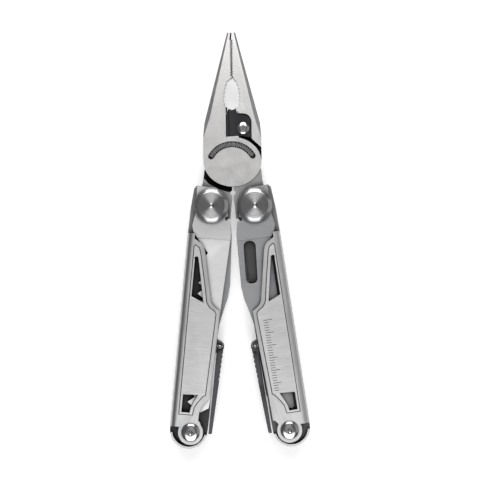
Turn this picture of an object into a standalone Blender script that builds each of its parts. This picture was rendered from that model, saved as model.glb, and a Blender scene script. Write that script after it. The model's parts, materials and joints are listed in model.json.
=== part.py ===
"""Folding multi tool: pliers jaws, two channel handles, blades, inner tools and lock bars.

The tool lies flat, opened as pliers. +Z is up through its thickness, +Y runs towards the jaw tips and
+X to the right. Outlines and solids are in millimetres, in one of two flat frames, and are scaled to
metres when a solid is attached to its axis:
  head frame    x to the right and y towards the tips, from the jaw joint's axis
  handle frame  u along the handle from its pivot bolt, v outward from its centre line
Heights z are measured from the tool's middle plane.
"""
import math

import bmesh
import bpy
from mathutils import Matrix, Vector

MM = 0.001

# Driving dimensions, in millimetres and degrees
HALF_THICKNESS = 9.2         # middle plane to the top of the bolt heads
HEAD_AT = (-2.958, 31.091)     # the jaw joint's axis
HEAD_TILT = 0.67
PIVOT_X = 8.56               # handle pivots in the head frame
PIVOT_Y = -17.4
LEFT_SPREAD = 5.91           # each handle's angle out from the head's centre line
RIGHT_SPREAD = 8.15
HANDLE_EDGE = 8.35           # centre line to the outer edge of a handle
END_BOLT_U = 89.8
LOCK_PIN_AT = (55.5, -8.4)   # (u, v)
CLEARANCE = 0.3

# Layers, as heights from the middle plane
JAW_FACE = 3.4
TANG_FACE = 3.1
LAP = 0.15                   # half the gap between the two halves of the jaw joint
CHANNEL = (3.7, 4.7)
TANG_LAYER = (5.0, 6.95)
BLADE_LAYER = (5.25, 6.65)
WALL = (7.2, 8.1)
POCKET_FLOOR = 7.55
INLAY = (7.8, 8.2)
INNER_TOOL_THICKNESS = 1.8
INNER_TOOL_PITCH = 2.15
LOCK_BAR_FACE = 3.3

# Round parts
PIVOT_SHANK_R = 2.7
PIVOT_HEAD_R = 6.85
END_SHANK_R = 1.8
END_HEAD_R = 3.6
BIG = 30.0                   # reach of a cutter past everything it trims


# ---------------------------------------------------------------- outlines

def arc(centre, radius, start, stop, steps):
    """Points on a circle from start to stop, in degrees."""
    angles = [math.radians(start + (stop - start) * i / steps) for i in range(steps + 1)]
    return [(centre[0] + radius * math.cos(a), centre[1] + radius * math.sin(a)) for a in angles]


def curved_slot(centre, radius, half_width, start, stop):
    """A band that follows an arc, with round ends."""
    ends = [arc(centre, radius, angle, angle, 1)[0] for angle in (start, stop)]
    outer = arc(centre, radius + half_width, start, stop, 14)
    inner = arc(centre, radius - half_width, stop, start, 14)
    far_end = arc(ends[1], half_width, stop, stop + 180, 6)
    near_end = arc(ends[0], half_width, start + 180, start + 360, 6)
    return outer + far_end[1:-1] + inner + near_end[1:-1]


def ellipse(half_x, half_y, start, stop, steps):
    """Points on an ellipse about the origin."""
    return [(half_x * x, half_y * y) for x, y in arc((0, 0), 1.0, start, stop, steps)]


def signed_area(outline):
    pairs = zip(outline, outline[1:] + outline[:1])
    return sum(a[0] * b[1] - b[0] * a[1] for a, b in pairs) / 2


def offset(outline, distance):
    """The outline moved outwards by a distance, corner by corner."""
    turn = math.copysign(1.0, signed_area(outline))
    moved = []
    for i, here in enumerate(outline):
        before = Vector(here) - Vector(outline[i - 1])
        after = Vector(outline[(i + 1) % len(outline)]) - Vector(here)
        normal_a = Vector((before.y, -before.x)).normalized() * turn
        normal_b = Vector((after.y, -after.x)).normalized() * turn
        bisector = (normal_a + normal_b).normalized()
        reach = distance / max(0.5, bisector.dot(normal_a))
        moved.append(tuple(Vector(here) + bisector * reach))
    return moved


def on_handle(outline, side):
    """Handle frame (u, v) to flat x and y: side is +1 on the right handle and -1 on the left."""
    return [(side * v, -u) for u, v in outline]


# ---------------------------------------------------------------- solids

def new_object(name, build):
    """Make a mesh object from a function that fills a bmesh in millimetres."""
    shape = bmesh.new()
    build(shape)
    bmesh.ops.recalc_face_normals(shape, faces=shape.faces)
    mesh = bpy.data.meshes.new(name)
    shape.to_mesh(mesh)
    shape.free()
    made = bpy.data.objects.new(name, mesh)
    bpy.context.collection.objects.link(made)
    return made


def loft(name, sections):
    """A closed solid through sections of equal length, each a list of (x, y, z)."""
    def build(shape):
        rings = [[shape.verts.new(point) for point in section] for section in sections]
        for lower, upper in zip(rings, rings[1:]):
            for i in range(len(lower)):
                j = (i + 1) % len(lower)
                shape.faces.new((lower[i], lower[j], upper[j], upper[i]))
        shape.faces.new(rings[0][::-1])
        shape.faces.new(rings[-1])
    return new_object(name, build)


def prism(name, outline, low, high):
    """The outline extruded from one height to another."""
    return loft(name, [[(x, y, z) for x, y in outline] for z in (low, high)])


def cylinder(name, centre, radius, low, high, steps=24):
    return prism(name, arc(centre, radius, 0, 360, steps)[:-1], low, high)


def turned(name, profile, steps=40):
    """A solid of revolution about Z from (radius, z) points: a closed loop, or a line from axis to axis."""
    def build(shape):
        edge = [shape.verts.new((r, 0, z)) for r, z in profile]
        edges = [shape.edges.new(pair) for pair in zip(edge, edge[1:])]
        bmesh.ops.spin(shape, geom=edge + edges, cent=(0, 0, 0), axis=(0, 0, 1),
                       angle=math.tau, steps=steps)
        bmesh.ops.remove_doubles(shape, verts=shape.verts, dist=0.0001)
    made = new_object(name, build)
    made.data.shade_smooth()
    made.data.set_sharp_from_angle(angle=math.radians(28))
    return made


def combine(target, others, operation):
    """Apply one Boolean for each of the other solids, and remove them."""
    for other in others:
        modifier = target.modifiers.new("combine", "BOOLEAN")
        modifier.operation = operation
        modifier.object = other
        modifier.solver = "EXACT"
        bpy.context.view_layer.update()
        evaluated = target.evaluated_get(bpy.context.evaluated_depsgraph_get())
        mesh = bpy.data.meshes.new_from_object(evaluated)
        target.modifiers.clear()
        target.data = mesh
        bpy.data.objects.remove(other)
    target.data.name = target.name
    return target


def cut(target, *others):
    return combine(target, others, "DIFFERENCE")


def join(target, *others):
    return combine(target, others, "UNION")


# ---------------------------------------------------------------- finish and placing

def steel(name, colour, roughness):
    material = bpy.data.materials.new(name)
    material.use_nodes = True
    shader = material.node_tree.nodes["Principled BSDF"]
    shader.inputs["Base Color"].default_value = (*colour, 1.0)
    shader.inputs["Roughness"].default_value = roughness
    shader.inputs["Metallic"].default_value = 1.0
    return material


def empty(name, location, turn=0.0, parent=None):
    """A joint's axis: location in millimetres, turn in degrees about Z."""
    made = bpy.data.objects.new(name, None)
    bpy.context.collection.objects.link(made)
    made.location = [value * MM for value in location]
    made.rotation_euler.z = math.radians(turn)
    made.parent = parent
    return made


def attach(made, axis, material, origin=(0.0, 0.0)):
    """Hang a finished solid on its joint's empty; origin is the axis's place in the outline's frame."""
    made.data.transform(Matrix.Translation((-origin[0], -origin[1], 0)))
    made.data.transform(Matrix.Scale(MM, 4))
    made.data.materials.clear()
    made.data.materials.append(material)
    made.parent = axis


def turn_over(made):
    """Turn a solid half a turn about Y, so its front becomes its back."""
    made.data.transform(Matrix.Rotation(math.pi, 4, "Y"))


def mirror_heights(made):
    """Mirror a solid through the tool's middle plane."""
    made.data.transform(Matrix.Scale(-1, 4, (0, 0, 1)))
    made.data.flip_normals()


# ---------------------------------------------------------------- pliers head

TIP_Y = 51.4
TIP_HALF = 1.65
JAW_HALF = 11.6
SHOULDER_Y = 15.5
SHOULDER_HALF = 11.1
GRIP_TOP = 33.4
GRIP_BOTTOM = 21.9
CUTTER_EDGE = 2.5            # front layer's edge beside the cutter
SCREW_AT = (4.35, 13.4)
SCREW_HOLE_R = 1.5


def grip_half_width(y):
    """Half width of the pipe-grip opening: pointed above, full below."""
    widest_y = 25.0
    reach = GRIP_TOP + 0.1 - widest_y if y > widest_y else 6.0
    return 3.2 * math.sqrt(1 - ((y - widest_y) / reach) ** 2)


def bite(phase):
    """The left jaw's gripping edge from the tip down: smooth tip, fine teeth, then the pipe grip."""
    pitch = 1.0
    first_y = 48.5
    tooth = 0.4
    gap = 0.12
    points = [(-gap / 2, TIP_Y)]
    count = int((first_y - GRIP_TOP) / pitch * 2)
    for i in range(count):
        side = 1 if (i + phase) % 2 else -1
        points.append((-gap / 2 + side * tooth, first_y - i * pitch / 2))
    for i in range(14):
        y = GRIP_TOP - 0.5 - i * 0.8
        points.append((-grip_half_width(y) - (0.28 if i % 2 else -0.28), y))
    return points


def jaw_side():
    """The left jaw's outer edge, from the joint up to the tip."""
    return [(-JAW_HALF, 6.5), (-JAW_HALF + 0.1, 11.0), (-SHOULDER_HALF, SHOULDER_Y), (-TIP_HALF, TIP_Y)]


def recess():
    """Edge of the cutter's recess in the left jaw's back layer, from the grip down to the shoulder."""
    corner = arc((-4.4, 15.9), 3.3, 90, 180, 6)
    return [(-1.9, GRIP_BOTTOM), (-2.0, 20.2), (-2.9, 19.3)] + corner + [(-7.7, 9.2), (-11.3, 5.8)]


def edge_facet(name, face):
    """A cutter for the flat facet along the left jaw's outer edge; face is +1 in front, -1 behind."""
    sections = []
    slope = 0.75
    for y, half, width in ((TIP_Y + 1, TIP_HALF - 0.26, 0.6), (18.0, 10.45, 1.7), (8.5, JAW_HALF, -0.2)):
        inner = -half + width
        outer = -half - 2.0
        top = JAW_FACE + 1.0
        low = JAW_FACE - slope * (width + 2.0)
        ring = [(inner, JAW_FACE), (inner + 1.0 / slope, top), (outer, top), (outer, low)]
        sections.append([(x, y, face * z) for x, z in ring])
    return loft(name, sections)


def relieved_teeth(name, phase, low, high):
    """A cutter for the shallow step that follows the teeth's edge on one face of the left jaw."""
    width = 0.25
    teeth = [(x - width, y) for x, y in bite(phase) if y > GRIP_TOP]
    teeth[0] = (-width, TIP_Y + 1)
    return prism(name, teeth + [(2.0, teeth[-1][1]), (2.0, TIP_Y + 1)], low, high)


def make_jaw(name, phase):
    """One pliers half: the left jaw, the front half of the round joint and the right-hand tang."""
    front = bite(phase) + [(-CUTTER_EDGE, GRIP_BOTTOM)]
    front += ellipse(11.45, 9.84, 102.6, -178, 52) + [(-JAW_HALF - 0.05, 2.0)] + jaw_side()
    back = bite(phase) + recess() + jaw_side()
    made = prism(name, front, LAP, JAW_FACE)
    join(made, prism("back_layer", back, -JAW_FACE, LAP + 0.2))
    for face in (1, -1):
        cut(made, edge_facet("facet", face))
    step_z = JAW_FACE - 0.4
    cut(made, relieved_teeth("step_front", phase, step_z, BIG), relieved_teeth("step_back", phase, -BIG, -step_z))

    pivot = (PIVOT_X, PIVOT_Y)
    tang_outline = [(0.3, -4.0), (10.6, -2.0), (11.35, -3.0), (11.8, -7.2), (12.6, -11.0)]
    tang_outline += arc(pivot, 7.0, 42, -118, 16)
    tang_outline += [(2.6, -23.5), (2.1, -22.6), (1.1, -22.6), (0.7, -18.0), (0.3, -14.5)]
    tang = prism("tang", tang_outline, -TANG_FACE, TANG_FACE)
    relief = [(-1.0, -12.1), (2.1, -11.95), (5.0, -11.0), (7.0, -10.1), (9.6, -8.6), (11.8, -6.0)]
    relief += [(13.5, -4.0), (13.5, 4.0), (-1.0, 4.0)]
    cut(tang, prism("relief", relief, -BIG, LAP + 0.15))
    join(made, tang)

    cut(made,
        prism("band", curved_slot((-0.2, -2.6), 9.6, 1.2, 31, 150), JAW_FACE - 0.4, BIG),
        cylinder("pin_bore", (0, 0), 3.3, -1.0, 2.6),
        cylinder("screw_hole", (-SCREW_AT[0], SCREW_AT[1]), SCREW_HOLE_R, -BIG, 2.3, 20),
        cylinder("notch", (0, -12.3), 1.1, -BIG, BIG, 16),
        cylinder("pivot_bore", pivot, PIVOT_SHANK_R + CLEARANCE, -BIG, BIG))
    return made


def make_cutter(name):
    """A wire-cutter insert for the right jaw: a face plate in front and an edge that reaches behind."""
    plate = [(-1.1, 21.1), (0.0, 20.7), (1.0, 21.0), (1.55, 21.6), (1.7, 20.1), (2.75, 19.0)]
    plate += arc((4.4, 15.9), 3.0, 90, 0, 6)
    plate += [(7.4, 9.7), (5.0, 10.2), (2.5, 10.4), (-1.1, 10.6)]
    made = prism(name, plate, LAP + 0.1, 2.4)
    edge = [(1.45, 10.7), (2.2, 10.7), (2.2, 19.4), (1.45, 21.2)]
    join(made, prism("edge", edge, -2.4, 0.5))
    cut(made, cylinder("screw_hole", SCREW_AT, SCREW_HOLE_R, -BIG, BIG, 20))
    return made


def domed_head(radius, base, top, dimple, shank_radius, shank_end):
    """Profile of a domed fastener with a small dimple in its head."""
    rim = top - 0.62 * (top - base)
    profile = [(0, top - 0.3), (dimple * 0.5, top - 0.28), (dimple, top - 0.02)]
    for i in range(1, 5):
        angle = math.radians(90 * i / 4)
        r = dimple + (radius - dimple) * math.sin(angle)
        profile.append((r, rim + (top - 0.02 - rim) * math.cos(angle)))
    return profile + [(radius, base), (shank_radius, base), (shank_radius, shank_end), (0, shank_end)]


def build_head(axis, satin, black, bright):
    for name, phase, flipped in (("jaw_front", 0, False), ("jaw_back", 1, True)):
        jaw = make_jaw(name, phase)
        if flipped:
            turn_over(jaw)
        attach(jaw, axis, satin)
    pin = turned("jaw_pin", [(0, 2.3), (2.7, 2.3), (3.0, 2.0), (3.0, -2.0), (2.7, -2.3), (0, -2.3)], 20)
    attach(pin, axis, bright)
    for name, flipped in (("front", False), ("back", True)):
        insert = make_cutter("cutter_" + name)
        screw = turned("cutter_screw_" + name, domed_head(2.6, 2.6, 3.55, 0.6, 1.2, -1.8), 24)
        screw.data.transform(Matrix.Translation((*SCREW_AT, 0)))
        if flipped:
            turn_over(insert)
            turn_over(screw)
        attach(insert, axis, black)
        attach(screw, axis, bright)


# ---------------------------------------------------------------- handle frame and inlays

FOLD_R = (WALL[1] - CHANNEL[0]) / 2
SHEET = 0.9
FOLD_Z = (WALL[1] + CHANNEL[0]) / 2
FOLD_V = HANDLE_EDGE - FOLD_R
FOLD_START = 11.5
FOLD_END = 88.0
CAP_CENTRE = (89.1, 0.85)
CAP_R = 7.45

INLAY_OUTLINE = [
    (16.6, 5.3), (15.9, 4.8), (17.0, 3.1), (18.8, 2.45), (29.6, 0.0), (38.2, -1.75), (40.0, -2.9),
    (41.4, -5.1), (42.5, -5.8), (47.4, -5.6), (74.7, -4.6), (75.2, -3.7), (77.6, -1.9), (79.8, -0.6),
    (82.9, -0.1), (83.0, 5.3)]


def windows(side):
    """Cutters for the triangle and the square window through a wall and its inlay."""
    triangle = [(22.0, 4.5)] + arc((21.2, 3.9), 0.75, 90, 260, 5) + [(38.4, -0.4), (36.3, 4.5)]
    square = [(75.1, 4.3), (74.7, -1.6), (77.7, -0.2), (80.0, 0.8), (82.1, 1.1), (82.1, 4.3)]
    return [prism("window", on_handle(outline, side), WALL[0] - 0.2, BIG) for outline in (triangle, square)]


def wall_outline(side):
    """A handle's outer wall: the sloping front edge, the inner edge and the tab round the end bolt."""
    sloping = [(13.1, FOLD_V), (13.9, 4.75), (15.1, 2.6), (16.2, 1.6), (18.4, 0.76), (28.8, -1.4)]
    sloping += [(37.8, -3.4), (38.7, -3.9), (40.0, -5.2), (41.2, -7.2), (57.0, -6.8)]
    if side < 0:
        inner = [(75.8, -6.1), (77.4, -4.6), (79.4, -3.3), (81.5, -2.7), (84.9, -2.6), (85.3, -3.2)]
    else:
        inner = [(72.0, -6.2), (84.9, -5.9), (85.4, -4.9)]
    tab = arc((END_BOLT_U, 0), 4.9, -128, 112, 26)
    return sloping + inner + tab + [(88.0, FOLD_V)]


def channel_outline():
    """A channel wall: the ear round the pivot, the straight run, the lock pin's lug and the round end."""
    ear = [(-4.0, -5.2), (-7.4, -1.0), (-7.4, 6.5), (-6.2, 7.5), (2.0, 8.1), (FOLD_START, HANDLE_EDGE - 0.05)]
    run = [(FOLD_START + 0.1, FOLD_V), (FOLD_END, FOLD_V), (FOLD_END + 0.1, HANDLE_EDGE - 0.1)]
    end = arc(CAP_CENTRE, CAP_R, 90, -90, 30)
    lug = arc(LOCK_PIN_AT, 1.7, 10, -190, 12)
    inner = [(84.0, -6.7), (58.5, -6.7)] + lug + [(52.5, -6.7), (6.0, -6.7), (0.0, -6.4)]
    return ear + run + end + inner


def fold(name, side, face):
    """The half-round fold that turns a channel wall outward into the outer wall."""
    leg = 0.8
    outer = [(FOLD_V + y, FOLD_Z + face * x) for x, y in arc((0, 0), FOLD_R, 0, 180, 10)]
    inner = [(FOLD_V + y, FOLD_Z + face * x) for x, y in arc((0, 0), FOLD_R - SHEET, 180, 0, 10)]
    ring = [(FOLD_V - leg, FOLD_Z + face * FOLD_R)] + outer + [(FOLD_V - leg, FOLD_Z - face * FOLD_R)]
    ring += [(FOLD_V - leg, FOLD_Z - face * (FOLD_R - SHEET))] + inner
    ring += [(FOLD_V - leg, FOLD_Z + face * (FOLD_R - SHEET))]
    return loft(name, [[(side * v, -u, z) for v, z in ring] for u in (FOLD_START, FOLD_END)])


def make_frame(name, side):
    """A handle's folded sheet: two channel walls and their web, folded out into two outer walls."""
    channel = on_handle(channel_outline(), side)
    rim = arc(CAP_CENTRE, CAP_R, 78, -78, 26) + arc(CAP_CENTRE, CAP_R - 0.9, -78, 78, 26)
    web = [(9.0, -6.6), (9.0, -5.6), (84.0, -5.6), (84.0, -6.6)]

    def half():
        made = prism(name, channel, *CHANNEL)
        join(made,
             fold("fold", side, 1),
             prism("wall", on_handle(wall_outline(side), side), *WALL),
             prism("rim", on_handle(rim, side), CHANNEL[0] + 0.3, 6.7))
        pocket = on_handle(offset(INLAY_OUTLINE, 0.15), side)
        cut(made, prism("pocket", pocket, POCKET_FLOOR, BIG), *windows(side))
        return made

    front = half()
    back = half()
    mirror_heights(back)
    front.name = name
    pivot_hole = cylinder("pivot_hole", (0, 0), PIVOT_SHANK_R + CLEARANCE, -BIG, BIG)
    end_hole = cylinder("end_hole", (0, -END_BOLT_U), END_SHANK_R + CLEARANCE, -BIG, BIG, 24)
    lock_hole = cylinder("lock_hole", on_handle([LOCK_PIN_AT], side)[0], 1.1, -BIG, BIG, 16)
    join(front, prism("web", on_handle(web, side), -4.2, 4.2), back)
    cut(front, pivot_hole, end_hole, lock_hole)
    return front


def make_inlay(name, side):
    outline = on_handle(offset(INLAY_OUTLINE, -0.15), side)
    return cut(prism(name, outline, *INLAY), *windows(side))


# ---------------------------------------------------------------- outer tools

def tool_tang():
    """Outline of an outer tool round its pivot, open towards the blade."""
    head = [(10.9, 6.1), (8.5, 6.8), (3.3, 5.9), (-7.2, 6.3), (-7.2, -1.2), (-4.5, -5.0), (0.0, -6.4)]
    notch = [(3.6, -6.8), (3.9, -5.9), (5.3, -5.9), (5.5, -7.9)]
    return head + notch


def plain_blade():
    spine = [(10.5, -8.95), (31.2, -10.2), (36.0, -9.8), (42.0, -8.4), (47.0, -7.4), (60.0, -6.3)]
    tip = [(72.0, -4.9), (77.5, -3.0), (80.6, -0.4), (81.6, 2.2), (81.0, 3.3)]
    return tool_tang() + spine + tip + [(20.0, 3.6), (14.6, 3.8)]


def serrated_blade():
    spine = [(10.5, -8.95), (31.2, -10.2), (36.0, -9.8), (42.0, -8.4), (47.0, -7.4), (60.0, -6.3)]
    edge = [(78.5, -3.6), (81.0, -1.4), (78.0, 1.2)]
    scallop = 4.0
    for i in range(12):
        start = 76.0 - i * scallop
        edge += arc((start - scallop / 2, 3.5), scallop / 2 - 0.25, 0, -180, 4)
    return tool_tang() + spine + edge + [(22.0, 3.6), (14.6, 3.8)]


def saw_blade():
    spine = [(10.5, -8.8), (13.4, -8.7), (42.0, -7.3), (77.0, -6.6), (79.9, -6.2)]
    pitch = 4.3
    teeth = [(81.8, -3.0)]
    for i in range(14):
        root = 80.0 - i * pitch
        teeth += [(root, -0.6), (root - pitch * 0.45, 2.3)]
    return tool_tang() + spine + teeth + [(18.8, -0.4), (14.6, 3.2)]


def file_blade():
    edge = [(10.5, -8.95), (13.5, -8.9), (40.0, -8.4), (44.0, -7.6), (76.0, -7.0), (79.5, -6.2)]
    return tool_tang() + edge + [(81.0, -5.0), (81.0, 2.6), (79.5, 3.6), (14.6, 3.8)]


def make_outer_tool(name, outline, side, thumb_hole, ground_edge):
    """A blade with a thicker tang; front layer, its edge ground from both faces where it is a knife."""
    made = prism(name, on_handle(outline, side), *BLADE_LAYER)
    tang_end = [(12.6, -BIG), (13.4, BIG), (100.0, BIG), (100.0, -BIG)]
    tang = prism("tang", on_handle(outline, side), *TANG_LAYER)
    cut(tang, prism("beyond", on_handle(tang_end, side), 0.0, BIG))
    join(made, tang)
    cut(made, cylinder("bore", (0, 0), PIVOT_SHANK_R + CLEARANCE, -BIG, BIG))
    if thumb_hole:
        upper = (15.9, -4.5)
        lower = (28.3, -5.6)
        slot = arc(upper, 2.4, 95, 275, 10) + arc(lower, 2.3, -85, 95, 10)
        cut(made, prism("thumb_hole", on_handle(slot, side), 0.0, BIG))
    if ground_edge:
        middle = sum(BLADE_LAYER) / 2
        for face in (1, -1):
            sections = []
            for u in (19.0, 82.5):
                ring = [(1.2, middle + face * 0.72), (4.6, middle + face * 0.12), (4.6, middle + face * 3.0),
                        (1.2, middle + face * 3.0)]
                sections.append([(side * v, -u, z) for v, z in ring])
            cut(made, loft("grind", sections))
    return made


# ---------------------------------------------------------------- inner tools, from the end bolt

def inner_tool(shaft):
    """A round root on the end bolt and a shaft whose outline is given from its lower to its upper side."""
    return arc((END_BOLT_U, 0), 4.6, 125, -125, 16) + shaft


def large_driver():
    return inner_tool([(84.0, -4.4), (58.0, -4.4), (54.0, -4.9), (48.5, -4.9), (47.5, -4.6), (47.5, -0.7),
                       (48.5, -0.4), (54.0, -0.4), (58.0, 0.4), (84.0, 1.6)])


def small_driver():
    return inner_tool([(84.0, -4.2), (64.0, -3.6), (52.0, -3.4), (51.3, -3.2), (51.3, -0.9), (52.0, -0.7),
                       (64.0, -0.5), (84.0, 1.2)])


def cross_driver():
    return inner_tool([(84.0, -4.4), (62.0, -4.6), (57.5, -4.4), (54.0, -3.2), (53.3, -2.6), (53.3, -1.6),
                       (54.0, -1.0), (57.5, 0.2), (62.0, 0.4), (84.0, 1.4)])


def awl():
    return inner_tool([(84.0, -4.6), (60.0, -4.9), (47.0, -2.9), (60.0, 0.6), (84.0, 1.6)])


def can_opener():
    return inner_tool([(84.0, -4.6), (68.0, -4.9), (57.0, -4.9), (55.0, -4.0), (54.4, -2.0), (56.5, 0.6),
                       (58.3, 0.8), (58.6, -1.4), (60.2, -2.4), (62.4, -2.0), (63.4, 0.0), (64.5, 1.2),
                       (84.0, 1.8)])


def bottle_opener():
    return inner_tool([(84.0, -4.6), (66.0, -5.0), (56.0, -5.0), (52.6, -4.2), (51.0, -2.6), (50.8, -0.6),
                       (53.0, 0.6), (55.0, 0.2), (55.6, -1.4), (58.6, -2.0), (61.6, -1.6), (64.0, 0.8),
                       (68.0, 2.0), (84.0, 2.2)])


def make_inner_tool(name, outline, side, level):
    middle = level * INNER_TOOL_PITCH
    low = middle - INNER_TOOL_THICKNESS / 2
    made = prism(name, on_handle(outline, side), low, low + INNER_TOOL_THICKNESS)
    return cut(made, cylinder("bore", (0, -END_BOLT_U), END_SHANK_R + CLEARANCE, -BIG, BIG, 24))


# ---------------------------------------------------------------- lock bar and fasteners

def lock_bar_outline():
    """The rocker beside the channel, with grip notches near its pinned end."""
    outer = [(53.3, -8.1), (53.8, -9.3), (55.0, -9.9)]
    for i in range(6):
        u = 58.0 + i * 2.0
        v = -9.85 + i * 0.09
        outer += [(u, v), (u + 0.6, v + 0.45), (u + 1.2, v)]
    outer += [(72.0, -9.25), (90.0, -8.45), (90.5, -8.0)]
    return outer + [(90.4, -7.0), (72.0, -7.25), (55.0, -7.3), (53.6, -7.5)]


def make_lock_bar(name, side):
    made = prism(name, on_handle(lock_bar_outline(), side), -LOCK_BAR_FACE, LOCK_BAR_FACE)
    return cut(made, cylinder("bore", on_handle([LOCK_PIN_AT], side)[0], 1.1, -BIG, BIG, 16))


def pivot_bolt_profile():
    """Head with a chamfer, a turned face and a centre dimple; shank down through the handle."""
    base = WALL[0]
    return [(0, 8.75), (0.5, 8.8), (1.0, 9.1), (5.45, 9.1), (5.6, 9.2), (5.75, 9.2), (PIVOT_HEAD_R, 8.35),
            (PIVOT_HEAD_R, base), (PIVOT_SHANK_R, base), (PIVOT_SHANK_R, -8.2), (0, -8.2)]


def pivot_nut_profile():
    """The matching head behind, with a blind hole for the bolt's end; rest face at the very back."""
    hole = PIVOT_SHANK_R + CLEARANCE
    return [(0, -8.5), (hole, -8.5), (hole, -WALL[0]), (PIVOT_HEAD_R, -WALL[0]), (PIVOT_HEAD_R, -8.35),
            (5.75, -HALF_THICKNESS), (0, -HALF_THICKNESS)]


def washer_profile(level):
    """A thin washer on the end bolt, half-way between two tools' levels."""
    thickness = INNER_TOOL_PITCH - INNER_TOOL_THICKNESS - 0.2
    bore = END_SHANK_R + 0.2
    low = level * INNER_TOOL_PITCH - thickness / 2
    high = low + thickness
    return [(bore, low), (3.4, low), (3.4, high), (bore, high), (bore, low)]


# ---------------------------------------------------------------- one handle

def build_handle(label, side, axis, steels, outer_tools, inner_tools):
    satin, tool_steel, bright, dark = steels
    end_at = (0.0, -END_BOLT_U)
    lock_at = on_handle([LOCK_PIN_AT], side)[0]
    end_axis = empty(label + "_end_axis", (*end_at, 0), parent=axis)
    lock_axis = empty(label + "_lock_axis", (*lock_at, 0), parent=axis)

    attach(make_frame(label + "_frame", side), axis, satin)
    for face in ("front", "back"):
        inlay = make_inlay(f"{label}_inlay_{face}", side)
        if face == "back":
            mirror_heights(inlay)
        attach(inlay, axis, satin)

    for name, outline, face, thumb_hole, ground_edge in outer_tools:
        tool = make_outer_tool(name, outline, side, thumb_hole, ground_edge)
        if face == "back":
            mirror_heights(tool)
        attach(tool, axis, tool_steel)

    attach(turned(label + "_pivot_bolt", pivot_bolt_profile(), 32), axis, bright)
    attach(turned(label + "_pivot_nut", pivot_nut_profile(), 32), axis, bright)

    head_base = WALL[1] + 0.2
    bolt = domed_head(END_HEAD_R, head_base, HALF_THICKNESS, 1.0, END_SHANK_R, -WALL[1])
    attach(turned(label + "_end_bolt", bolt, 24), end_axis, bright)
    nut_profile = domed_head(END_HEAD_R, head_base, HALF_THICKNESS, 1.0, 0.5, head_base)[:-2]
    nut = turned(label + "_end_nut", nut_profile + [(0, head_base)], 24)
    mirror_heights(nut)
    attach(nut, end_axis, bright)
    for place, level in (("upper", 0.5), ("lower", -0.5)):
        attach(turned(f"{label}_end_washer_{place}", washer_profile(level), 20), end_axis, bright)

    for level, (name, outline) in zip((1, 0, -1), inner_tools):
        attach(make_inner_tool(name, outline, side, level), end_axis, tool_steel, end_at)

    attach(make_lock_bar(label + "_lock_bar", side), lock_axis, dark, lock_at)
    pin_profile = [(0, 4.9), (0.6, 4.9), (0.8, 4.7), (0.8, -4.7), (0.6, -4.9), (0, -4.9)]
    pin = turned(label + "_lock_pin", pin_profile, 16)
    attach(pin, lock_axis, bright)


def main():
    for old in list(bpy.data.objects):
        bpy.data.objects.remove(old)
    satin = steel("satin_steel", (0.62, 0.62, 0.61), 0.38)
    tool_steel = steel("tool_steel", (0.5, 0.51, 0.53), 0.34)
    bright = steel("polished_steel", (0.68, 0.68, 0.69), 0.18)
    dark = steel("dark_steel", (0.12, 0.12, 0.125), 0.45)
    black = steel("black_oxide", (0.035, 0.035, 0.038), 0.42)

    head_axis = empty("head_axis", (*HEAD_AT, HALF_THICKNESS), HEAD_TILT)
    left_axis = empty("left_handle_axis", (-PIVOT_X, PIVOT_Y, 0), -LEFT_SPREAD, head_axis)
    right_axis = empty("right_handle_axis", (PIVOT_X, PIVOT_Y, 0), RIGHT_SPREAD, head_axis)

    build_head(head_axis, satin, black, bright)
    steels = (satin, tool_steel, bright, dark)
    build_handle("left", -1, left_axis, steels,
                 [("saw_blade", saw_blade(), "front", False, False),
                  ("serrated_blade", serrated_blade(), "back", True, False)],
                 [("can_opener", can_opener()), ("large_driver", large_driver()),
                  ("bottle_opener", bottle_opener())])
    build_handle("right", 1, right_axis, steels,
                 [("plain_blade", plain_blade(), "front", True, True),
                  ("file_blade", file_blade(), "back", False, False)],
                 [("cross_driver", cross_driver()), ("awl", awl()), ("small_driver", small_driver())])


main()
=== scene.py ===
"""Looks of the folding multi tool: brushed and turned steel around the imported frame.

Everything is in metres in the frame's own axes: +Y towards the jaw tips, +X to the right and +Z up
through the tool's thickness, with z = 0 on the surface it lies on.
"""
import json
import math

import bmesh
import bpy
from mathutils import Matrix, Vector


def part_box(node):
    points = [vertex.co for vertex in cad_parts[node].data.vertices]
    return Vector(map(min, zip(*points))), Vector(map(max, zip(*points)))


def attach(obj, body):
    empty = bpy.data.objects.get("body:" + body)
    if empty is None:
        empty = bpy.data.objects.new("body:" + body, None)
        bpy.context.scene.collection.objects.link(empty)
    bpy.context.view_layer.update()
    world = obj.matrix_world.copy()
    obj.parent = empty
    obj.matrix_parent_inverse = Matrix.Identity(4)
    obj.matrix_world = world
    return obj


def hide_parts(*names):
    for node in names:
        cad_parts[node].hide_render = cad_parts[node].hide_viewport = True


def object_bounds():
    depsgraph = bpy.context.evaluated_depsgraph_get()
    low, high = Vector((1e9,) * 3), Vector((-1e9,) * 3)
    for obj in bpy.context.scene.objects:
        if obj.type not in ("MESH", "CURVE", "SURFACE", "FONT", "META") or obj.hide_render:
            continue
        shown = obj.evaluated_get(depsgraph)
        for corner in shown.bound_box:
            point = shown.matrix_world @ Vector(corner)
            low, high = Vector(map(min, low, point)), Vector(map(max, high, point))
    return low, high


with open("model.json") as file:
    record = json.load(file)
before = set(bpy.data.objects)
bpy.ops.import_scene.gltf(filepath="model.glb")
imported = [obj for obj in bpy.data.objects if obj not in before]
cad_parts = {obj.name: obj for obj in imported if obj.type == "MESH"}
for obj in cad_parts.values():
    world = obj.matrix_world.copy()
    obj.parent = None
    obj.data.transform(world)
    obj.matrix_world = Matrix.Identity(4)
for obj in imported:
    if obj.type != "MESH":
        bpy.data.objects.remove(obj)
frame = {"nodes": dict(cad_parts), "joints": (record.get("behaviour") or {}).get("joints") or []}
cad_low, cad_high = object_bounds()

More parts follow.
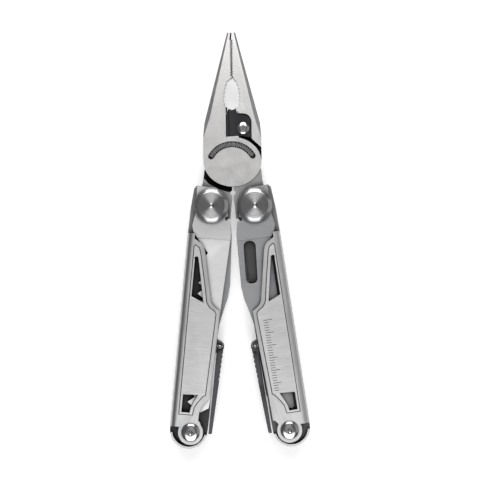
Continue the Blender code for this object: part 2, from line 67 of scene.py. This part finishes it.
MM = 0.001
NODES = frame["nodes"]
MIDDLE_Z = (cad_low.z + cad_high.z) / 2
JOINTS = {joint["name"]: joint for joint in frame["joints"]}

# Distances from the middle plane, in millimetres, that tell one part of a surface from another.
BLADE_TANG_LEVEL = 6.8
CHANNEL_LEVEL = 5.0
JAW_TANG_LEVEL = 3.2
JAW_RECESS_LEVEL = 3.05
# Past this y, in millimetres, a handle's walls lie beside the pivots instead of along the channel.
PIVOT_STRIP_Y = 3.0
# Painted shade: the near-black colour of the jaws' recess floors and tooth steps.
RECESS_PAINTED_SHADE = (0.03, 0.03, 0.031)
POLISHED_RIM = (0.48, 0.48, 0.485)

# The shader counts its anisotropic rotation in whole turns.
QUARTER_TURN = 0.25

SMOOTH_ANGLE = math.radians(26)
BEVEL_ANGLE = math.radians(40)
DISSOLVE_ANGLE = math.radians(0.4)


# ---------------------------------------------------------------- where things are

def axis_of(joint):
    """A joint's axis in plan."""
    return Vector(JOINTS[joint]["pos_m"][:2])


HEAD = axis_of("jaw_open")
PIVOTS = {"left": axis_of("left_handle_fold"), "right": axis_of("right_handle_fold")}
ENDS = {"left": axis_of("large_driver_swing"), "right": axis_of("awl_swing")}


def handle_angle(side):
    """Turn of a handle's long axis away from -Y, in radians."""
    along = ENDS[side] - PIVOTS[side]
    return math.atan2(along.x, -along.y)


def head_angle():
    """Turn of the line from the left pivot to the right one, in radians."""
    across = PIVOTS["right"] - PIVOTS["left"]
    return math.atan2(across.y, across.x)


def on_handle(side, u, v):
    """A point u along a handle from its pivot and v outward from its centre line, in millimetres."""
    outward = 1 if side == "right" else -1
    turn = handle_angle(side)
    x, y = outward * v * MM, -u * MM
    cos, sin = math.cos(turn), math.sin(turn)
    return PIVOTS[side] + Vector((x * cos - y * sin, x * sin + y * cos))


# ---------------------------------------------------------------- node helpers

class Graph:
    """Short ways to add and join the nodes of one material."""

    def __init__(self, material):
        self.tree = material.node_tree
        self.shader = self.tree.nodes["Principled BSDF"]

    def node(self, kind, **settings):
        made = self.tree.nodes.new(kind)
        for name, value in settings.items():
            setattr(made, name, value)
        return made

    def link(self, source, target):
        self.tree.links.new(source, target)

    def place(self, turn=0.0, scale=(1, 1, 1)):
        """Object coordinates, turned about Z and then stretched."""
        coordinates = self.node("ShaderNodeTexCoord")
        turned = self.node("ShaderNodeMapping", vector_type="TEXTURE")
        turned.inputs["Rotation"].default_value = (0, 0, turn)
        stretched = self.node("ShaderNodeMapping")
        stretched.inputs["Scale"].default_value = scale
        self.link(coordinates.outputs["Object"], turned.inputs["Vector"])
        self.link(turned.outputs["Vector"], stretched.inputs["Vector"])
        return stretched.outputs["Vector"]

    def noise(self, vector, detail, roughness=0.6):
        """Noise at scale 1, since the vector is stretched beforehand."""
        made = self.node("ShaderNodeTexNoise")
        made.inputs["Scale"].default_value = 1.0
        made.inputs["Detail"].default_value = detail
        made.inputs["Roughness"].default_value = roughness
        self.link(vector, made.inputs["Vector"])
        return made.outputs["Fac"]

    def math(self, operation, first, second=0.0):
        """A Math node's result for one or two values, each a socket or a number."""
        made = self.node("ShaderNodeMath", operation=operation)
        for socket, value in zip(made.inputs, (first, second)):
            if isinstance(value, (int, float)):
                socket.default_value = value
            else:
                self.link(value, socket)
        return made.outputs["Value"]

    def spread(self, value, low, high, start=0.0, stop=1.0):
        """Map a value from start..stop to low..high."""
        made = self.node("ShaderNodeMapRange")
        for name, number in (("From Min", start), ("From Max", stop), ("To Min", low), ("To Max", high)):
            made.inputs[name].default_value = number
        self.link(value, made.inputs["Value"])
        return made.outputs["Result"]

    def blend(self, factor, first, second, mode="MIX"):
        """Blend two colours. A tuple is a fixed colour and a plain number a fixed factor."""
        made = self.node("ShaderNodeMix", data_type="RGBA", blend_type=mode)
        if isinstance(factor, (int, float)):
            made.inputs[0].default_value = factor
        else:
            self.link(factor, made.inputs[0])
        for socket, value in ((made.inputs[6], first), (made.inputs[7], second)):
            if isinstance(value, tuple):
                socket.default_value = (*value, 1.0)
            else:
                self.link(value, socket)
        return made.outputs[2]

    def bump(self, height, strength, distance):
        """Drive the shader's normal by a height, with distance in metres."""
        made = self.node("ShaderNodeBump")
        made.inputs["Strength"].default_value = strength
        made.inputs["Distance"].default_value = distance
        self.link(height, made.inputs["Height"])
        self.link(made.outputs["Normal"], self.shader.inputs["Normal"])


def new_material(name, roughness, metallic=1.0):
    """A new material and the graph that fills it."""
    material = bpy.data.materials.new(name)
    material.use_nodes = True
    graph = Graph(material)
    graph.shader.inputs["Metallic"].default_value = metallic
    graph.shader.inputs["Roughness"].default_value = roughness
    return material, graph


def dim(colour, amount):
    """A fixed colour times an amount, which may be over 1."""
    return tuple(channel * amount for channel in colour)


def painted_occlusion_shade(graph, colour, reach=4.0, darkest=0.1, closed=0.32, clear=0.86):
    """Darken the colour where other surfaces close in: painted shade in gaps, hollows and around raised
    parts.

    reach is how far in millimetres other surfaces count. Openness below closed is fully darkened and
    above clear is left alone.
    """
    occlusion = graph.node("ShaderNodeAmbientOcclusion", samples=8)
    occlusion.inputs["Distance"].default_value = reach * MM
    openness = graph.spread(occlusion.outputs["AO"], 0.0, 1.0, closed, clear)
    return graph.blend(openness, dim_to_black(graph, colour, darkest), colour)


def dim_to_black(graph, colour, amount):
    """A linked colour multiplied by one fixed grey."""
    return graph.blend(1.0, colour, (amount, amount, amount), mode="MULTIPLY")


def from_middle(graph):
    """Distance of a point from the tool's middle plane, in metres."""
    place = graph.node("ShaderNodeSeparateXYZ")
    graph.link(graph.node("ShaderNodeTexCoord").outputs["Object"], place.inputs["Vector"])
    return graph.math("ABSOLUTE", graph.math("SUBTRACT", place.outputs["Z"], MIDDLE_Z))


def level_mask(graph, below):
    """1 on upward and downward faces less than a height in millimetres from the middle plane."""
    geometry = graph.node("ShaderNodeNewGeometry")
    normal = graph.node("ShaderNodeSeparateXYZ")
    graph.link(geometry.outputs["True Normal"], normal.inputs["Vector"])
    flat = graph.math("GREATER_THAN", graph.math("ABSOLUTE", normal.outputs["Z"]), 0.9)
    low = graph.math("LESS_THAN", from_middle(graph), below * MM)
    return graph.math("MULTIPLY", flat, low)


def place_mask(graph, axis, start):
    """1 where the object coordinate along one axis is past start, in metres."""
    place = graph.node("ShaderNodeSeparateXYZ")
    graph.link(graph.node("ShaderNodeTexCoord").outputs["Object"], place.inputs["Vector"])
    return graph.math("GREATER_THAN", place.outputs[axis], start)


def sideways(graph):
    """0 on upward and downward faces, rising to 1 on faces that stand upright."""
    geometry = graph.node("ShaderNodeNewGeometry")
    normal = graph.node("ShaderNodeSeparateXYZ")
    graph.link(geometry.outputs["Normal"], normal.inputs["Vector"])
    return graph.spread(graph.math("ABSOLUTE", normal.outputs["Z"]), 1.0, 0.0, 0.35, 0.97)


def worn_edges(graph, colour, worn):
    """Lighten the colour on the worn, convex edges."""
    geometry = graph.node("ShaderNodeNewGeometry")
    edge = graph.spread(geometry.outputs["Pointiness"], 0.0, 1.0, 0.52, 0.6)
    return graph.blend(edge, colour, worn)


# ---------------------------------------------------------------- materials

def brushed(name, colour, roughness, turn, streak, tang_tone=None, channel=None):
    """Steel ground in one direction: long fine streaks, a few deeper scratches and faint clouding.

    turn is the streaks' direction and streak their contrast. With a tang_tone, surfaces further out
    than the blade's own level turn towards that tone, as the thicker tang is left from an earlier grind.
    With a channel tone, the steel is folded sheet with painted shade: darker on its upright sides, as dark
    as that tone inside the channel, and less dark on the inner faces beside the pivots.
    """
    material, graph = new_material(name, roughness)
    fine = graph.noise(graph.place(turn=turn, scale=(230, 6400, 2600)), detail=3.0, roughness=0.7)
    coarse = graph.noise(graph.place(turn=turn, scale=(110, 2400, 1000)), detail=4.0, roughness=0.65)
    scratch = graph.noise(graph.place(turn=turn + 0.5, scale=(45, 2300, 900)), detail=1.0)
    clouds = graph.noise(graph.place(scale=(190, 190, 190)), detail=5.0)
    streaks = graph.math("ADD", graph.math("MULTIPLY", fine, 0.5), graph.math("MULTIPLY", coarse, 0.5))
    tone = graph.spread(streaks, 0.0, 1.0, 0.36, 0.64)
    shade = graph.blend(tone, dim(colour, 1 - streak), dim(colour, 1 + streak * 0.4))
    cloudy = graph.spread(clouds, 0.0, 0.35, 0.4, 0.75)
    shade = graph.blend(cloudy, shade, dim(colour, 0.84))
    deep = graph.spread(scratch, 0.0, 0.5, 0.72, 0.8)
    shade = graph.blend(deep, shade, dim(colour, 0.55))
    if tang_tone:
        thick = graph.math("GREATER_THAN", from_middle(graph), BLADE_TANG_LEVEL * MM)
        shade = graph.blend(graph.math("MULTIPLY", thick, 0.8), shade, dim(colour, tang_tone))
    shade = worn_edges(graph, shade, dim(colour, 1.12))
    if channel:
        # Painted shade: the sheet's upright sides, its inner faces beside the pivots and the channel floor
        # are darkened.
        shade = graph.blend(sideways(graph), shade, dim_to_black(graph, shade, 0.5))
        inner = level_mask(graph, CHANNEL_LEVEL)
        beside_pivot = place_mask(graph, "Y", PIVOT_STRIP_Y * MM)
        shade = graph.blend(graph.math("MULTIPLY", inner, beside_pivot), shade, dim(colour, 0.55))
        in_channel = graph.math("MULTIPLY", inner, graph.math("SUBTRACT", 1.0, beside_pivot))
        shade = graph.blend(in_channel, shade, dim(colour, channel))
    # Painted shade: the colour darkens where other surfaces close in.
    graph.link(painted_occlusion_shade(graph, shade), graph.shader.inputs["Base Color"])
    rough = graph.spread(streaks, roughness * 0.8, roughness * 1.25, 0.3, 0.7)
    graph.link(rough, graph.shader.inputs["Roughness"])
    graph.bump(graph.math("ADD", streaks, graph.math("MULTIPLY", clouds, 0.25)), 0.3, 0.02 * MM)
    return material


def tumbled(name, colour, roughness):
    """Fine stone-tumbled steel: tiny mottling with faint crossing scratches.

    The flat faces of the tangs are darker. Those of the recesses and of the steps along the teeth are
    painted near black, as the shade that fills them.
    """
    material, graph = new_material(name, roughness)
    grain = graph.noise(graph.place(scale=(900, 3600, 2600)), detail=3.0, roughness=0.7)
    clouds = graph.noise(graph.place(scale=(240, 240, 240)), detail=5.0)
    one_way = graph.noise(graph.place(turn=0.15, scale=(60, 1700, 900)), detail=3.0)
    other_way = graph.noise(graph.place(turn=1.8, scale=(60, 2100, 900)), detail=3.0)
    scratches = graph.math("MAXIMUM", one_way, other_way)
    shade = graph.blend(graph.spread(grain, 0.0, 1.0, 0.35, 0.65), dim(colour, 0.86), dim(colour, 1.05))
    shade = graph.blend(graph.spread(clouds, 0.0, 0.3, 0.4, 0.75), shade, dim(colour, 0.9))
    shade = graph.blend(graph.spread(scratches, 0.0, 0.5, 0.6, 0.74), shade, dim(colour, 0.72))
    shade = worn_edges(graph, shade, dim(colour, 1.1))
    shade = graph.blend(level_mask(graph, JAW_TANG_LEVEL), shade, dim(colour, 0.6))
    # Painted shade: flat faces this close to the middle plane, in the recesses and tooth steps, go near
    # black.
    shade = graph.blend(level_mask(graph, JAW_RECESS_LEVEL), shade, RECESS_PAINTED_SHADE)
    # Painted shade: the colour darkens in the gaps and hollows of the joint.
    shade = painted_occlusion_shade(graph, shade, reach=2.5, darkest=0.05, closed=0.5, clear=0.94)
    graph.link(shade, graph.shader.inputs["Base Color"])
    rough = graph.spread(clouds, roughness * 0.85, roughness * 1.2, 0.3, 0.7)
    graph.link(rough, graph.shader.inputs["Roughness"])
    graph.bump(graph.math("ADD", grain, scratches), 0.25, 0.02 * MM)
    return material


def turned_steel(name, colour, roughness, anisotropy, rings, rim=None):
    """Lathe-turned steel: fine rings about the piece's own centre, which stretch its highlights.

    With a rim, the outer part of the head beyond that share of its width is polished brighter.
    """
    material, graph = new_material(name, roughness)
    graph.shader.inputs["Anisotropic"].default_value = anisotropy
    graph.shader.inputs["Anisotropic Rotation"].default_value = QUARTER_TURN
    tangent = graph.node("ShaderNodeTangent", direction_type="RADIAL", axis="Z")
    graph.link(tangent.outputs["Tangent"], graph.shader.inputs["Tangent"])
    centred = graph.node("ShaderNodeVectorMath", operation="SUBTRACT")
    centred.inputs[1].default_value = (0.5, 0.5, 0)
    graph.link(graph.node("ShaderNodeTexCoord").outputs["Generated"], centred.inputs[0])
    flat = graph.node("ShaderNodeVectorMath", operation="MULTIPLY")
    flat.inputs[1].default_value = (1, 1, 0)
    graph.link(centred.outputs["Vector"], flat.inputs[0])
    radius = graph.node("ShaderNodeVectorMath", operation="LENGTH")
    graph.link(flat.outputs["Vector"], radius.inputs[0])
    across = graph.math("MULTIPLY", radius.outputs["Value"], rings)
    combined = graph.node("ShaderNodeCombineXYZ")
    graph.link(across, combined.inputs["X"])
    groove = graph.noise(combined.outputs["Vector"], detail=2.0, roughness=0.7)
    grain = graph.noise(graph.place(scale=(1500, 1500, 1500)), detail=2.0)
    shade = graph.blend(graph.spread(groove, 0.0, 1.0, 0.3, 0.7), dim(colour, 0.72), dim(colour, 1.06))
    shade = graph.blend(graph.spread(grain, 0.0, 0.25, 0.4, 0.7), shade, dim(colour, 0.8))
    if rim:
        outside = graph.math("GREATER_THAN", radius.outputs["Value"], rim)
        shade = graph.blend(outside, shade, POLISHED_RIM)
    # Painted shade: the colour darkens close to the surfaces around each head.
    graph.link(painted_occlusion_shade(graph, shade, reach=1.5), graph.shader.inputs["Base Color"])
    graph.bump(groove, 0.35, 0.02 * MM)
    return material


def dark_finish(name, colour, roughness, metallic, specular):
    """Dark oxide over steel: faint blotches, fine streaks and a lighter tone on the worn edges."""
    material, graph = new_material(name, roughness, metallic)
    graph.shader.inputs["Specular IOR Level"].default_value = specular
    blotch = graph.noise(graph.place(scale=(350, 350, 350)), detail=5.0)
    streak = graph.noise(graph.place(scale=(2600, 90, 900)), detail=3.0)
    shade = graph.blend(graph.spread(blotch, 0.0, 1.0, 0.35, 0.65), dim(colour, 0.7), dim(colour, 1.35))
    shade = graph.blend(graph.spread(streak, 0.0, 0.5, 0.45, 0.7), shade, dim(colour, 1.8))
    graph.link(worn_edges(graph, shade, dim(colour, 3.0)), graph.shader.inputs["Base Color"])
    rough = graph.spread(blotch, roughness * 0.8, roughness * 1.3, 0.3, 0.7)
    graph.link(rough, graph.shader.inputs["Roughness"])
    graph.bump(graph.math("ADD", blotch, streak), 0.3, 0.03 * MM)
    return material


def floor_finish():
    """A pale matt floor that glows a little, so that it stays white in shadow."""
    material, graph = new_material("pale_floor", 0.9, metallic=0.0)
    drift = graph.noise(graph.place(scale=(3, 3, 3)), detail=2.0)
    shade = graph.blend(drift, (0.93, 0.93, 0.93), (0.96, 0.96, 0.96))
    graph.link(shade, graph.shader.inputs["Base Color"])
    graph.shader.inputs["Emission Color"].default_value = (1.0, 1.0, 1.0, 1.0)
    graph.shader.inputs["Emission Strength"].default_value = 0.42
    return material


LEFT_TURN = handle_angle("left")
RIGHT_TURN = handle_angle("right")
WHITE_STEEL = (0.63, 0.63, 0.627)
GREY_STEEL = (0.40, 0.405, 0.415)
SHEET_STEEL = (0.58, 0.58, 0.58)
ACROSS = math.pi / 2

MATERIALS = {
    "jaw": tumbled("jaw_steel", (0.60, 0.593, 0.585), 0.34),
    "band": brushed("band_steel", (0.42, 0.42, 0.42), 0.4, 0.0, 0.2),
    "left_frame": brushed("left_frame_steel", SHEET_STEEL, 0.32, LEFT_TURN + ACROSS, 0.10, channel=0.09),
    "right_frame": brushed("right_frame_steel", SHEET_STEEL, 0.32, RIGHT_TURN + ACROSS, 0.10, channel=0.2),
    "left_inlay": brushed("left_inlay_steel", WHITE_STEEL, 0.40, LEFT_TURN, 0.22),
    "right_inlay": brushed("right_inlay_steel", WHITE_STEEL, 0.40, RIGHT_TURN, 0.22),
    "left_blade": brushed("left_blade_steel", (0.82, 0.82, 0.82), 0.36, LEFT_TURN, 0.06, tang_tone=0.5),
    "right_blade": brushed("right_blade_steel", GREY_STEEL, 0.34, RIGHT_TURN, 0.16, tang_tone=0.95),
    "inner_tool": brushed("inner_tool_steel", (0.42, 0.42, 0.43), 0.34, LEFT_TURN, 0.16),
    "pivot": turned_steel("turned_steel", (0.38, 0.38, 0.385), 0.24, 0.95, 34.0, rim=0.385),
    "polished": turned_steel("polished_steel", (0.52, 0.52, 0.525), 0.15, 0.2, 12.0),
    "lock": dark_finish("dark_steel", (0.03, 0.03, 0.0315), 0.38, 1.0, 0.3),
    "oxide": dark_finish("black_oxide", (0.017, 0.017, 0.019), 0.42, 0.3, 0.22),
}


# ---------------------------------------------------------------- carried-over frame pieces

def smoothing_group():
    """Geometry nodes that shade a mesh smooth across its shallow edges."""
    group = bpy.data.node_groups.new("smooth_shallow_edges", "GeometryNodeTree")
    group.interface.new_socket("Geometry", in_out="INPUT", socket_type="NodeSocketGeometry")
    group.interface.new_socket("Geometry", in_out="OUTPUT", socket_type="NodeSocketGeometry")
    start = group.nodes.new("NodeGroupInput")
    stop = group.nodes.new("NodeGroupOutput")
    faces = group.nodes.new("GeometryNodeSetShadeSmooth")
    edges = group.nodes.new("GeometryNodeSetShadeSmooth")
    edges.domain = "EDGE"
    angle = group.nodes.new("GeometryNodeInputMeshEdgeAngle")
    shallow = group.nodes.new("FunctionNodeCompare")
    shallow.operation = "LESS_THAN"
    shallow.inputs[1].default_value = SMOOTH_ANGLE
    group.links.new(angle.outputs["Unsigned Angle"], shallow.inputs[0])
    group.links.new(start.outputs[0], faces.inputs["Geometry"])
    group.links.new(faces.outputs["Geometry"], edges.inputs["Geometry"])
    group.links.new(shallow.outputs["Result"], edges.inputs["Shade Smooth"])
    group.links.new(edges.outputs["Geometry"], stop.inputs[0])
    return group


SMOOTHING = smoothing_group()


def finish_node(name, material, edge):
    """Give a frame node its steel and a small rounded edge, edge in millimetres."""
    node = NODES[name]
    node.data.materials.clear()
    node.data.materials.append(MATERIALS[material])
    weld = node.modifiers.new("weld", "WELD")
    weld.merge_threshold = 0.002 * MM
    flat = node.modifiers.new("flat_faces", "DECIMATE")
    flat.decimate_type = "DISSOLVE"
    flat.angle_limit = DISSOLVE_ANGLE
    smooth = node.modifiers.new("smooth", "NODES")
    smooth.node_group = SMOOTHING
    if edge:
        bevel = node.modifiers.new("edges", "BEVEL")
        bevel.width = edge * MM
        bevel.segments = 2
        bevel.limit_method = "ANGLE"
        bevel.angle_limit = BEVEL_ANGLE
        bevel.harden_normals = True


def finish_frame_nodes():
    """Steel and edge, in millimetres, of every frame node that keeps its own mesh."""
    for name, material, edge in (
            ("jaw_front", "jaw", 0.2), ("jaw_back", "jaw", 0.2), ("jaw_pin", "polished", 0.0),
            ("cutter_front", "oxide", 0.12), ("cutter_back", "oxide", 0.12),
            ("left_frame", "left_frame", 0.12), ("right_frame", "right_frame", 0.12),
            ("left_inlay_front", "left_inlay", 0.1), ("left_inlay_back", "left_inlay", 0.1),
            ("right_inlay_front", "right_inlay", 0.1), ("right_inlay_back", "right_inlay", 0.1),
            ("saw_blade", "left_blade", 0.1), ("serrated_blade", "right_blade", 0.1),
            ("plain_blade", "right_blade", 0.08), ("file_blade", "right_blade", 0.1),
            ("left_lock_bar", "lock", 0.15), ("right_lock_bar", "lock", 0.15)):
        finish_node(name, material, edge)
    for name in ("can_opener", "large_driver", "bottle_opener", "cross_driver", "awl", "small_driver"):
        finish_node(name, "inner_tool", 0.15)
    for side in ("left", "right"):
        for place in ("upper", "lower"):
            finish_node(f"{side}_end_washer_{place}", "polished", 0.0)


# ---------------------------------------------------------------- turned fasteners

TURNING_STEPS = 72
# Levels above the middle plane and shank radii, in millimetres.
PIVOT_BASE = 7.2
PIVOT_SHANK = 2.7
NUT_BORE = 3.0
NUT_BORE_FOOT = 8.3
END_BASE = 8.3
END_SHANK = 1.8
CUTTER_SCREW_BASE = 2.62
CUTTER_SCREW_SHANK = 1.2


def turned_piece(name, profile, centre, material):
    """A finely turned piece from (radius, z) points, from the axis at its top to the axis at its foot."""
    shape = bmesh.new()
    line = [shape.verts.new((centre.x + r, centre.y, z)) for r, z in profile]
    edges = [shape.edges.new(pair) for pair in zip(line, line[1:])]
    bmesh.ops.spin(shape, geom=line + edges, cent=(centre.x, centre.y, 0), axis=(0, 0, 1),
                   angle=math.tau, steps=TURNING_STEPS)
    bmesh.ops.remove_doubles(shape, verts=shape.verts, dist=0.0005 * MM)
    bmesh.ops.recalc_face_normals(shape, faces=shape.faces)
    return finished_piece(name, shape, material)


def finished_piece(name, shape, material):
    """A bmesh as a piece of the scene, smooth across shallow edges."""
    mesh = bpy.data.meshes.new(name)
    shape.to_mesh(mesh)
    shape.free()
    mesh.shade_smooth()
    mesh.set_sharp_from_angle(angle=SMOOTH_ANGLE)
    mesh.materials.append(MATERIALS[material])
    made = bpy.data.objects.new(name, mesh)
    bpy.context.collection.objects.link(made)
    return made


def scaled(profile, flip=False):
    """Profile in millimetres above the tool's middle plane, to metres in the frame."""
    sign = -1 if flip else 1
    return [(r * MM, MIDDLE_Z + sign * z * MM) for r, z in profile]


def pivot_head(radius, top, base):
    """A bolt head's profile: centre dimple, faintly ridged and dished face, wide chamfer and side."""
    face_r = radius - 1.55
    profile = [(0, top - 0.34), (0.3, top - 0.34), (0.42, top - 0.28), (0.8, top - 0.24), (0.95, top - 0.17)]
    steps = 11
    for i in range(steps + 1):
        share = i / steps
        ridge = 0.014 * (i % 2)
        profile.append((1.05 + share * (face_r - 1.2), top - 0.16 + 0.12 * share + ridge))
    profile += [(face_r, top), (face_r + 0.1, top - 0.01)]
    profile += [(radius - 0.12, top - 0.72), (radius, top - 0.84)]
    profile += [(radius, base + 0.12), (radius - 0.12, base)]
    return profile


def dome(radius, top, base):
    """A domed head's profile with a small dimple at its centre."""
    dimple = 0.26 * radius
    profile = [(0, top - 0.3), (dimple * 0.5, top - 0.29), (dimple * 0.85, top - 0.12), (dimple, top - 0.02)]
    rim = base + 0.3 * (top - base)
    steps = 10
    for i in range(1, steps + 1):
        angle = math.pi / 2 * i / steps
        profile.append((dimple + (radius - dimple) * math.sin(angle),
                        rim + (top - 0.01 - rim) * math.cos(angle)))
    return profile + [(radius - 0.03, base + 0.05), (radius - 0.1, base)]


def centre_of(node):
    """The centre of a node's box, in plan."""
    low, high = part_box(node)
    return Vector(((low.x + high.x) / 2, (low.y + high.y) / 2))


def measure(node):
    """Lowest and highest z from the middle plane, and half the width in X, all in millimetres."""
    low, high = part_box(node)
    return (low.z - MIDDLE_Z) / MM, (high.z - MIDDLE_Z) / MM, (high.x - low.x) / 2 / MM


def add_fastener(name, body, profile, centre, flip, material):
    """A turned piece that stands for the frame node of that name."""
    made = turned_piece(name + "_turned", scaled(profile, flip), centre, material)
    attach(made, body)
    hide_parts(name)


def make_handle_fasteners(side):
    """The pivot bolt and nut, the end bolt and nut, and the lock pin of one handle."""
    body = side + "_handle"
    low, high, radius = measure(side + "_pivot_bolt")
    profile = pivot_head(radius, high, PIVOT_BASE) + [(PIVOT_SHANK, PIVOT_BASE), (PIVOT_SHANK, low), (0, low)]
    add_fastener(side + "_pivot_bolt", body, profile, PIVOTS[side], False, "pivot")
    low, high, radius = measure(side + "_pivot_nut")
    profile = pivot_head(radius, -low, PIVOT_BASE)
    profile += [(NUT_BORE, PIVOT_BASE), (NUT_BORE, NUT_BORE_FOOT), (0, NUT_BORE_FOOT)]
    add_fastener(side + "_pivot_nut", body, profile, PIVOTS[side], True, "pivot")

    low, high, radius = measure(side + "_end_bolt")
    profile = dome(radius, high, END_BASE) + [(END_SHANK, END_BASE), (END_SHANK, low), (0, low)]
    add_fastener(side + "_end_bolt", body, profile, ENDS[side], False, "polished")
    low, high, radius = measure(side + "_end_nut")
    profile = dome(radius, -low, END_BASE) + [(0, END_BASE)]
    add_fastener(side + "_end_nut", body, profile, ENDS[side], True, "polished")

    low, high, radius = measure(side + "_lock_pin")
    profile = [(0, high), (0.5, high - 0.02), (0.72, high - 0.14), (radius, high - 0.3)]
    profile += [(r, -z) for r, z in reversed(profile)]
    add_fastener(side + "_lock_pin", body, profile, axis_of(side + "_lock_rock"), False, "polished")


def make_fasteners():
    """All the turned fasteners, in place of the frame's own."""
    for side in ("left", "right"):
        make_handle_fasteners(side)
    for face, body, flip in (("front", "back_jaw", False), ("back", "front_jaw", True)):
        name = "cutter_screw_" + face
        low, high, radius = measure(name)
        top, foot = (-low, -high) if flip else (high, low)
        profile = dome(radius, top, CUTTER_SCREW_BASE)
        profile += [(CUTTER_SCREW_SHANK, CUTTER_SCREW_BASE), (CUTTER_SCREW_SHANK, foot), (0, foot)]
        add_fastener(name, body, profile, centre_of(name), flip, "polished")


# ---------------------------------------------------------------- engraved and knurled detail

# The ribbed band in the recess on the joint's boss, in millimetres and degrees.
BAND_CENTRE_X = 0.2
BAND_CENTRE_Y = -2.6
BAND_FLOOR = 3.04
RIB_HEIGHT = 0.24
RIB_COUNT = 40
RIB_START = 31
RIB_SWEEP = 119
RIB_HALF_ANGLE = 0.008
LONG_RIB = (8.62, 10.58)
SHORT_RIB = (9.0, 10.2)
# The measuring scale on the right front cover plate, in millimetres.
MARK_COUNT = 29
MARK_START = 45.5
MARK_FOOT = -3.6
MARK_HALF_WIDTH = 0.11
LONG_MARK = 3.4
SHORT_MARK = 1.9
MARK_DEPTH = 0.05
MARK_HEIGHT = 0.012


def add_bar(shape, corners, low, high):
    """A small bar with a four-cornered plan."""
    rings = [[shape.verts.new((x, y, z)) for x, y in corners] for z in (low, high)]
    for i in range(4):
        j = (i + 1) % 4
        shape.faces.new((rings[0][i], rings[0][j], rings[1][j], rings[1][i]))
    shape.faces.new(rings[0][::-1])
    shape.faces.new(rings[1])


def make_grip_band(name, body, flip):
    """Fine radial ribs in the curved recess on the joint's boss, on the back face if flip is set."""
    centre_x = BAND_CENTRE_X if flip else -BAND_CENTRE_X
    centre = HEAD + Vector((centre_x, BAND_CENTRE_Y)) * MM
    tilt = head_angle()
    floor = MIDDLE_Z + BAND_FLOOR * MM
    top = floor + RIB_HEIGHT * MM
    low, high = (2 * MIDDLE_Z - top, 2 * MIDDLE_Z - floor) if flip else (floor, top)
    shape = bmesh.new()
    for i in range(RIB_COUNT):
        angle = math.radians(RIB_START + RIB_SWEEP * (i + 0.5) / RIB_COUNT)
        angle = (math.pi - angle if flip else angle) + tilt
        inner, outer = LONG_RIB if i % 2 else SHORT_RIB
        corners = [(r * MM, angle + RIB_HALF_ANGLE * side) for r, side in
                   ((inner, -1), (outer, -1), (outer, 1), (inner, 1))]
        plan = [(centre.x + r * math.cos(a), centre.y + r * math.sin(a)) for r, a in corners]
        add_bar(shape, plan, low, high)
    bmesh.ops.recalc_face_normals(shape, faces=shape.faces)
    made = finished_piece(name, shape, "band")
    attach(made, body)


def make_scale_marks():
    """A plain measuring scale on the right front cover plate: dark marks, every fifth one longer."""
    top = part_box("right_inlay_front")[1].z
    shape = bmesh.new()
    for i in range(MARK_COUNT):
        u = MARK_START + i
        length = LONG_MARK if i % 5 == 0 else SHORT_MARK
        corners = [on_handle("right", u + du, MARK_FOOT + dv) for du, dv in
                   ((-MARK_HALF_WIDTH, 0.0), (MARK_HALF_WIDTH, 0.0),
                    (MARK_HALF_WIDTH, length), (-MARK_HALF_WIDTH, length))]
        add_bar(shape, [tuple(corner) for corner in corners], top - MARK_DEPTH * MM, top + MARK_HEIGHT * MM)
    bmesh.ops.recalc_face_normals(shape, faces=shape.faces)
    made = finished_piece("scale_marks", shape, "oxide")
    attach(made, "right_handle")


# ---------------------------------------------------------------- stage, light and camera

def make_stage():
    """The floor, three metres square."""
    shape = bmesh.new()
    half = 1.5
    shape.faces.new([shape.verts.new((x, y, 0.0)) for x, y in
                     ((-half, -half), (half, -half), (half, half), (-half, half))])
    mesh = bpy.data.meshes.new("floor")
    shape.to_mesh(mesh)
    shape.free()
    mesh.materials.append(floor_finish())
    floor = bpy.data.objects.new("floor", mesh)
    bpy.context.collection.objects.link(floor)


def softbox(name, location, size, energy):
    """A rectangular light aimed at the frame's origin."""
    data = bpy.data.lights.new(name, "AREA")
    data.shape = "RECTANGLE"
    data.size, data.size_y = size
    data.energy = energy
    light = bpy.data.objects.new(name, data)
    bpy.context.collection.objects.link(light)
    light.location = location
    light.rotation_euler = (-Vector(location)).to_track_quat("-Z", "Y").to_euler()


def make_light():
    """Long softboxes beyond both ends, a weak one overhead, a broad fill on the right and a dim world."""
    softbox("top_softbox", (0.0, 0.58, 0.76), (0.54, 0.72), 5.5)
    softbox("bottom_softbox", (0.0, -0.56, 0.76), (0.54, 0.66), 3.7)
    softbox("overhead_softbox", (0.0, 0.0, 1.0), (0.24, 0.4), 0.12)
    softbox("right_fill", (0.95, 0.0, 0.55), (0.8, 1.8), 1.6)
    world = bpy.data.worlds.new("studio")
    world.use_nodes = True
    world.node_tree.nodes["Background"].inputs["Color"].default_value = (0.14, 0.14, 0.145, 1)
    bpy.context.scene.world = world


def make_camera():
    """Straight above the tool, with its long axis up the frame.

    The field is how much of the tool's middle plane, in metres, fills the picture's width.
    """
    data = bpy.data.cameras.new("camera")
    camera = bpy.data.objects.new("camera", data)
    bpy.context.collection.objects.link(camera)
    field = 0.192
    data.lens = 100
    data.clip_end = 10
    distance = field * data.lens / data.sensor_width
    camera.location = (0.0, 0.0, MIDDLE_Z + distance)
    bpy.context.scene.camera = camera
    bpy.context.scene.view_settings.view_transform = "Standard"


finish_frame_nodes()
make_fasteners()
make_grip_band("front_band", "front_jaw", False)
make_grip_band("back_band", "back_jaw", True)
make_scale_marks()
make_stage()
make_light()
make_camera()
